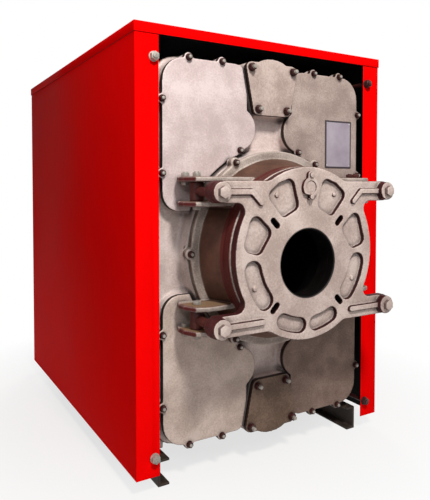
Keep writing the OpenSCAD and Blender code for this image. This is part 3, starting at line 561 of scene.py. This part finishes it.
# Bare data plate riveted to the upper right cover, in millimetres.
plate = {"left": 190, "right": 287, "low": 211, "high": 344, "thick": 1.2, "border": 4, "step": 0.4,
         "raised": 0.3, "edge": 0.3, "rivet": 2.4, "rivetFlat": 0.55, "rivetIn": 7}
bpy.ops.object.select_all(action="DESELECT")
bpy.ops.mesh.primitive_cube_add(size=1)
sheet = bpy.context.object
sheet.dimensions = ((plate["right"] - plate["left"]) / 1000, plate["thick"] / 1000,
                    (plate["high"] - plate["low"]) / 1000)
sheet.location = atFront((plate["left"] + plate["right"]) / 2, (plate["low"] + plate["high"]) / 2,
                         coverFace - plate["thick"] / 2)
bpy.ops.object.transform_apply(location=True, rotation=True, scale=True)
sheet.data.materials.append(finishes["plateEdge"])
sheet.data.materials.append(finishes["plate"])
edited(lambda face: face.normal.y < -square,
       (bpy.ops.mesh.inset, {"thickness": plate["border"] / 1000, "depth": 0.0}),
       (bpy.ops.mesh.inset, {"thickness": plate["step"] / 1000, "depth": plate["raised"] / 1000}))
innermost = max((face for face in sheet.data.polygons if face.normal.y < -square), key=lambda face: face.area)
innermost.material_index = 1
applied(sheet, "BEVEL", width=plate["edge"] / 1000, segments=2, limit_method="ANGLE")
rivets = []
for x in (plate["left"] + plate["rivetIn"], plate["right"] - plate["rivetIn"]):
    for up in (plate["low"] + plate["rivetIn"], plate["high"] - plate["rivetIn"]):
        bpy.ops.mesh.primitive_uv_sphere_add(segments=14, ring_count=8, radius=plate["rivet"] / 1000)
        rivet = bpy.context.object
        rivet.scale = (1, plate["rivetFlat"], 1)
        rivet.location = atFront(x, up, coverFace - plate["thick"])
        bpy.ops.object.transform_apply(location=True, scale=True)
        rivet.data.materials.append(finishes["zinc"])
        rivets.append(rivet)
joined(rivets)
bpy.ops.object.shade_smooth()
rivets[0].name = "plate_rivets"
sheet.name = "data_plate"
settle(sheet, "boiler", "zinc")
settle(rivets[0], "boiler", "zinc")
print("data plate set")


def shownRays(tree):  # 1 for rays that show the background, 0 for those that light the object
    rays = addNode(tree, "ShaderNodeLightPath")
    seen = addNode(tree, "ShaderNodeMath", {"operation": "MAXIMUM"},
                   {0: rays.outputs["Is Camera Ray"], 1: rays.outputs["Is Glossy Ray"]})
    return addNode(tree, "ShaderNodeMath", {"operation": "MAXIMUM"},
                   {0: seen.outputs[0], 1: rays.outputs["Is Transmission Ray"]}).outputs[0]


# Room: pale floor that runs out to white, a key lamp from the upper left front.
room = {"floor": 9.0, "below": 0.0005, "paint": "DEDCDA", "fadeFrom": 0.40, "fadeTo": 1.05, "nearWhite": 0.72,
        "ambient": 0.05}
bpy.ops.object.select_all(action="DESELECT")
bpy.ops.mesh.primitive_circle_add(vertices=96, radius=room["floor"], fill_type="NGON",
                                  location=(0, 0, -room["below"]))
floor = bpy.context.object
floor.name = "floor"
floorFinish, tree = newTree("pale studio floor")
place = addNode(tree, "ShaderNodeTexCoord").outputs["Object"]
distance = addNode(tree, "ShaderNodeVectorMath", {"operation": "LENGTH"}, {0: place})
fade = addNode(tree, "ShaderNodeMapRange",
               {"From Min": room["fadeFrom"], "From Max": room["fadeTo"], "To Min": room["nearWhite"]},
               {"Value": distance.outputs["Value"]})
matt = addNode(tree, "ShaderNodeBsdfDiffuse", {"Color": linear(room["paint"])})
white = addNode(tree, "ShaderNodeEmission", {"Color": linear("FFFFFF"), "Strength": 1.0})
runOut = addNode(tree, "ShaderNodeMath", {"operation": "MULTIPLY"},
                 {0: fade.outputs["Result"], 1: shownRays(tree)})
mixed = addNode(tree, "ShaderNodeMixShader", {},
                {0: runOut.outputs[0], 1: matt.outputs["BSDF"], 2: white.outputs["Emission"]})
addNode(tree, "ShaderNodeOutputMaterial", {}, {"Surface": mixed.outputs["Shader"]})
floor.data.materials.append(floorFinish)

world = bpy.data.worlds.new("white room")
world.use_nodes = True
tree = world.node_tree
tree.nodes.clear()
soft = addNode(tree, "ShaderNodeBackground", {"Color": linear("FFFFFF"), "Strength": room["ambient"]})
white = addNode(tree, "ShaderNodeBackground", {"Color": linear("FFFFFF"), "Strength": 1.0})
mixed = addNode(tree, "ShaderNodeMixShader", {},
                {0: shownRays(tree), 1: soft.outputs["Background"], 2: white.outputs["Background"]})
addNode(tree, "ShaderNodeOutputWorld", {}, {"Surface": mixed.outputs["Shader"]})
bpy.context.scene.world = world

lampAim = Vector((0, 0, 0.55))
lamps = {
    "key": {"at": (-0.45, -2.2, 2.6), "size": 0.4, "watts": 74, "colour": "FFFBF5"},
    "fill": {"at": (-1.4, -2.3, 1.7), "size": 0.6, "watts": 10, "colour": "FFFFFF"},
    "back": {"at": (1.5, 2.9, 2.4), "size": 1.2, "watts": 56, "colour": "FFFFFF"}}
for name, lamp in lamps.items():
    light = bpy.data.lights.new(name, "AREA")
    light.energy, light.size, light.color = lamp["watts"], lamp["size"], linear(lamp["colour"])[:3]
    holder = bpy.data.objects.new(name, light)
    holder.location = lamp["at"]
    holder.rotation_euler = (lampAim - holder.location).to_track_quat("-Z", "Y").to_euler()
    bpy.context.scene.collection.objects.link(holder)

# The camera that was fitted to the jacket's corners in the photo.
view = {"at": (-0.8591, -1.6575, 0.720), "turn": (88.22, 0.0, -30.67), "lens": 39.53, "shiftUp": -0.0949}
camera = bpy.data.cameras.new("photo")
camera.sensor_fit = "VERTICAL"
camera.sensor_height = 36
camera.lens = view["lens"]
camera.shift_y = view["shiftUp"]
stand = bpy.data.objects.new("photo", camera)
stand.location = view["at"]
stand.rotation_euler = [math.radians(angle) for angle in view["turn"]]
bpy.context.scene.collection.objects.link(stand)
bpy.context.scene.camera = stand
bpy.context.scene.view_settings.view_transform = "Standard"
print("room, lamps and camera set")
